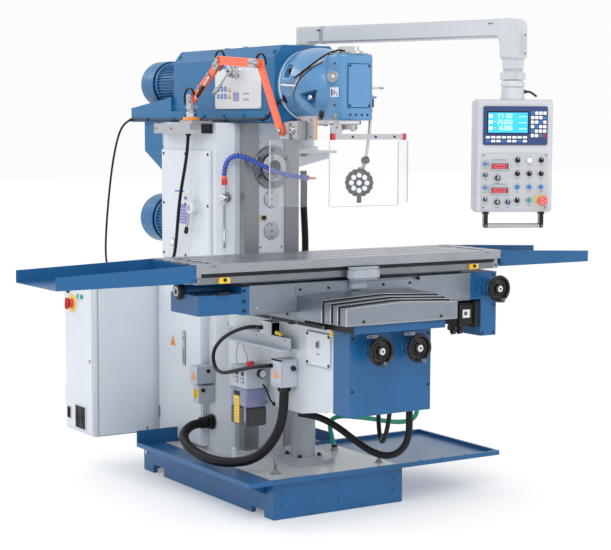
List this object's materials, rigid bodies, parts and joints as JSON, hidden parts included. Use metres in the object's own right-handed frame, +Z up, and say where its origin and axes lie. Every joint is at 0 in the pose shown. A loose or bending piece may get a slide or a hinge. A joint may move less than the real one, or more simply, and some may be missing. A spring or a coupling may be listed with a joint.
{
  "type": "knee-type universal milling machine",
  "caption": "Knee-type milling machine: hollow column, sliding knee, saddle and slotted table, ram with a universal swivel head, jointed-arm chip guard, work lamp and swinging control pendant.",
  "frame": {"origin": "floor level on the machine's centre plane, directly below the face of the column's guideways", "axes": "+X along the table to the operator's right, +Y from the operator towards the column, +Z up"},
  "size_m": [2.762, 2.2244, 2.205],
  "materials": {
    "cast_white": "painted, semi-gloss",
    "white_paint": "semi-gloss",
    "blue_paint": "semi-gloss",
    "ram_blue": "painted, semi-gloss",
    "black_steel": "satin",
    "steel": "ground",
    "stainless": "brushed",
    "ground_iron": "ground",
    "motor_grey": "satin",
    "black_plastic": "satin",
    "box_grey": "matte",
    "blue_plastic": "gloss",
    "aluminium": "anodised",
    "orange_plastic": "satin",
    "clear_sheet": "clear polycarbonate",
    "tank_plastic": "translucent",
    "yellow_paint": "gloss",
    "red_plastic": "gloss",
    "green_rubber": "satin",
    "black_rubber": "matte"
  },
  "bodies": {
    "frame": {"base_casting": "blue_paint", "drip_tray": "blue_paint", "anchor_bolts": "black_steel", "column_casting": "cast_white", "column_covers": "white_paint", "front_flanges": "steel", "main_motor": "motor_grey", "electrical_cabinet": "white_paint", "junction_boxes": "box_grey", "pedestal": "steel", "coolant_pipe": "blue_plastic", "pendant_post": "white_paint", "guard_bracket": "aluminium", "column_conduit": "black_rubber", "guard_cable": "black_rubber"},
    "spindle_arbor": {"horizontal_spindle": "steel"},
    "door": {"cabinet_door": "white_paint"},
    "switch": {"main_switch": "black_plastic"},
    "selector": {"speed_lever": "black_plastic"},
    "knee": {"knee_casting": "cast_white", "knee_front_cover": "blue_paint", "knee_junction_box": "box_grey", "lubricator": "tank_plastic", "way_cover_front": "stainless", "knee_conduit": "black_rubber", "knee_hose_loop": "black_rubber", "under_knee_hose": "black_rubber", "under_knee_loop": "black_rubber", "coolant_hose": "green_rubber"},
    "screw": {"elevating_screw": "steel"},
    "knee_wheel": {"knee_handwheel": "black_plastic"},
    "saddle_wheel": {"saddle_handwheel": "black_plastic"},
    "cover_second": {"way_cover_second": "stainless"},
    "cover_third": {"way_cover_third": "stainless"},
    "saddle": {"saddle_casting": "ground_iron", "table_screw_housings": "blue_paint", "feed_motor": "black_steel", "limit_switch": "box_grey", "way_cover_rear": "stainless"},
    "table_wheel": {"table_handwheel": "black_plastic"},
    "table_slide": {"table": "ground_iron", "stop_dogs": "yellow_paint", "table_trays": "blue_paint"},
    "ram": {"ram_casting": "ram_blue", "ram_motor": "motor_grey", "ram_cable": "black_rubber"},
    "range_lever": {"ram_lever": "steel"},
    "knuckle": {"head_knuckle": "ram_blue"},
    "head": {"milling_head": "ram_blue"},
    "quill": {"vertical_spindle": "steel"},
    "lamp": {"work_lamp": "black_plastic"},
    "pole": {"guard_pole": "aluminium"},
    "link_a": {"guard_link_lower": "orange_plastic"},
    "link_b": {"guard_link_middle": "orange_plastic"},
    "link_c": {"guard_link_upper": "orange_plastic"},
    "carrier": {"guard_carrier": "aluminium", "guard_panels": "clear_sheet"},
    "pendant_swing_arm": {"pendant_arm": "white_paint"},
    "pendant": {"pendant_box": "white_paint"},
    "stop_button": {"emergency_stop": "red_plastic"}
  },
  "joints": [
    {"name": "knee_slide", "type": "slide", "parent": "frame", "child": "knee", "axis": [0, 0, 1], "range_m": [-0.15, 0.18], "deforming": ["knee_conduit", "under_knee_hose", "under_knee_loop", "coolant_hose"]},
    {"name": "saddle_slide", "type": "slide", "parent": "knee", "child": "saddle", "axis": [0, 1, 0], "range_m": [-0.12, 0.06]},
    {"name": "table_feed", "type": "slide", "parent": "saddle", "child": "table_slide", "axis": [1, 0, 0], "range_m": [-0.4, 0.4]},
    {"name": "cover_second_slide", "type": "slide", "parent": "knee", "child": "cover_second", "axis": [0, 1, 0], "range_m": [-0.05, 0.03]},
    {"name": "cover_third_slide", "type": "slide", "parent": "knee", "child": "cover_third", "axis": [0, 1, 0], "range_m": [-0.09, 0.05]},
    {"name": "elevating_screw_turn", "type": "hinge", "parent": "knee", "child": "screw", "pos_m": [0, -0.282, 0.785], "axis": [0, 0, 1], "range_deg": [-9001, 10801]},
    {"name": "knee_handwheel_turn", "type": "hinge", "parent": "knee", "child": "knee_wheel", "pos_m": [0.098, -1.05, 0.785], "axis": [0, 1, 0], "range_deg": [-9001, 10801]},
    {"name": "saddle_handwheel_turn", "type": "hinge", "parent": "knee", "child": "saddle_wheel", "pos_m": [-0.098, -1.05, 0.785], "axis": [0, 1, 0], "range_deg": [-7201, 3601]},
    {"name": "table_handwheel_turn", "type": "hinge", "parent": "saddle", "child": "table_wheel", "pos_m": [0.727, -0.81, 0.984], "axis": [0, 1, 0], "range_deg": [-24001, 24001]},
    {"name": "ram_slide", "type": "slide", "parent": "frame", "child": "ram", "axis": [0, 1, 0], "range_m": [0, 0.25], "deforming": ["ram_cable"]},
    {"name": "range_lever_turn", "type": "hinge", "parent": "ram", "child": "range_lever", "pos_m": [-0.19, 0.03, 1.972], "axis": [1, 0, 0], "range_deg": [-40, 40]},
    {"name": "head_swivel", "type": "hinge", "parent": "ram", "child": "knuckle", "pos_m": [0, -0.3, 1.903], "axis": [0, 1, 0], "range_deg": [-15, 15]},
    {"name": "head_tilt", "type": "hinge", "parent": "knuckle", "child": "head", "pos_m": [0, -0.473, 1.903], "axis": [0, 0.7071, 0.7071], "range_deg": [-15, 15]},
    {"name": "vertical_spindle_turn", "type": "hinge", "parent": "head", "child": "quill", "pos_m": [0, -0.628, 1.8], "axis": [0, 0, 1], "continuous": true},
    {"name": "lamp_swing", "type": "hinge", "parent": "head", "child": "lamp", "pos_m": [0.118, -0.64, 1.82], "axis": [0, 0, 1], "range_deg": [-20, 20]},
    {"name": "horizontal_spindle_turn", "type": "hinge", "parent": "frame", "child": "spindle_arbor", "pos_m": [0, 0, 1.526], "axis": [0, 1, 0], "continuous": true},
    {"name": "cabinet_door_hinge", "type": "hinge", "parent": "frame", "child": "door", "pos_m": [-0.604, 1.018, 0.5], "axis": [0, 0, -1], "range_deg": [0, 100]},
    {"name": "main_switch_turn", "type": "hinge", "parent": "door", "child": "switch", "pos_m": [-0.62, 0.92, 0.83], "axis": [1, 0, 0], "range_deg": [0, 90]},
    {"name": "speed_selector", "type": "hinge", "parent": "frame", "child": "selector", "pos_m": [-0.27, 0.304, 1.329], "axis": [1, 0, 0], "range_deg": [-60, 20]},
    {"name": "guard_pole_swing", "type": "hinge", "parent": "frame", "child": "pole", "pos_m": [-0.32, 0.2, 1.75], "axis": [0, 0, 1], "range_deg": [-60, 0]},
    {"name": "guard_shoulder", "type": "hinge", "parent": "pole", "child": "link_a", "pos_m": [-0.32, 0.188, 1.84], "axis": [1, 0, 0], "range_deg": [-15, 0]},
    {"name": "guard_elbow", "type": "hinge", "parent": "link_a", "child": "link_b", "pos_m": [-0.32, -0.08, 2.015], "axis": [1, 0, 0], "range_deg": [-10, 0]},
    {"name": "guard_wrist", "type": "hinge", "parent": "link_b", "child": "link_c", "pos_m": [-0.32, -0.422, 1.992], "axis": [1, 0, 0], "range_deg": [-10, 0]},
    {"name": "guard_tilt", "type": "hinge", "parent": "link_c", "child": "carrier", "pos_m": [-0.32, -0.595, 1.699], "axis": [1, 0, 0], "range_deg": [-10, 5]},
    {"name": "pendant_arm_swing", "type": "hinge", "parent": "frame", "child": "pendant_swing_arm", "pos_m": [0.353, 0.256, 2.161], "axis": [0, 0, 1], "range_deg": [0, 60]},
    {"name": "pendant_turn", "type": "hinge", "parent": "pendant_swing_arm", "child": "pendant", "pos_m": [0.756, -0.84, 1.9], "axis": [0, 0, 1], "range_deg": [-60, 60]},
    {"name": "emergency_stop_press", "type": "slide", "parent": "pendant", "child": "stop_button", "axis": [0.454, 0.891, 0], "range_m": [0, 0.006], "stiffness_N_per_m": 1200}
  ],
  "couplings": [
    {"joint": "elevating_screw_turn", "follows": "knee_slide", "rad_per_m": 1047.2},
    {"joint": "knee_handwheel_turn", "follows": "knee_slide", "rad_per_m": 1047.2},
    {"joint": "saddle_handwheel_turn", "follows": "saddle_slide", "rad_per_m": 1047.2},
    {"joint": "cover_second_slide", "follows": "saddle_slide", "ratio": 0.346},
    {"joint": "cover_third_slide", "follows": "saddle_slide", "ratio": 0.628},
    {"joint": "table_handwheel_turn", "follows": "table_feed", "rad_per_m": 1047.2}
  ]
}
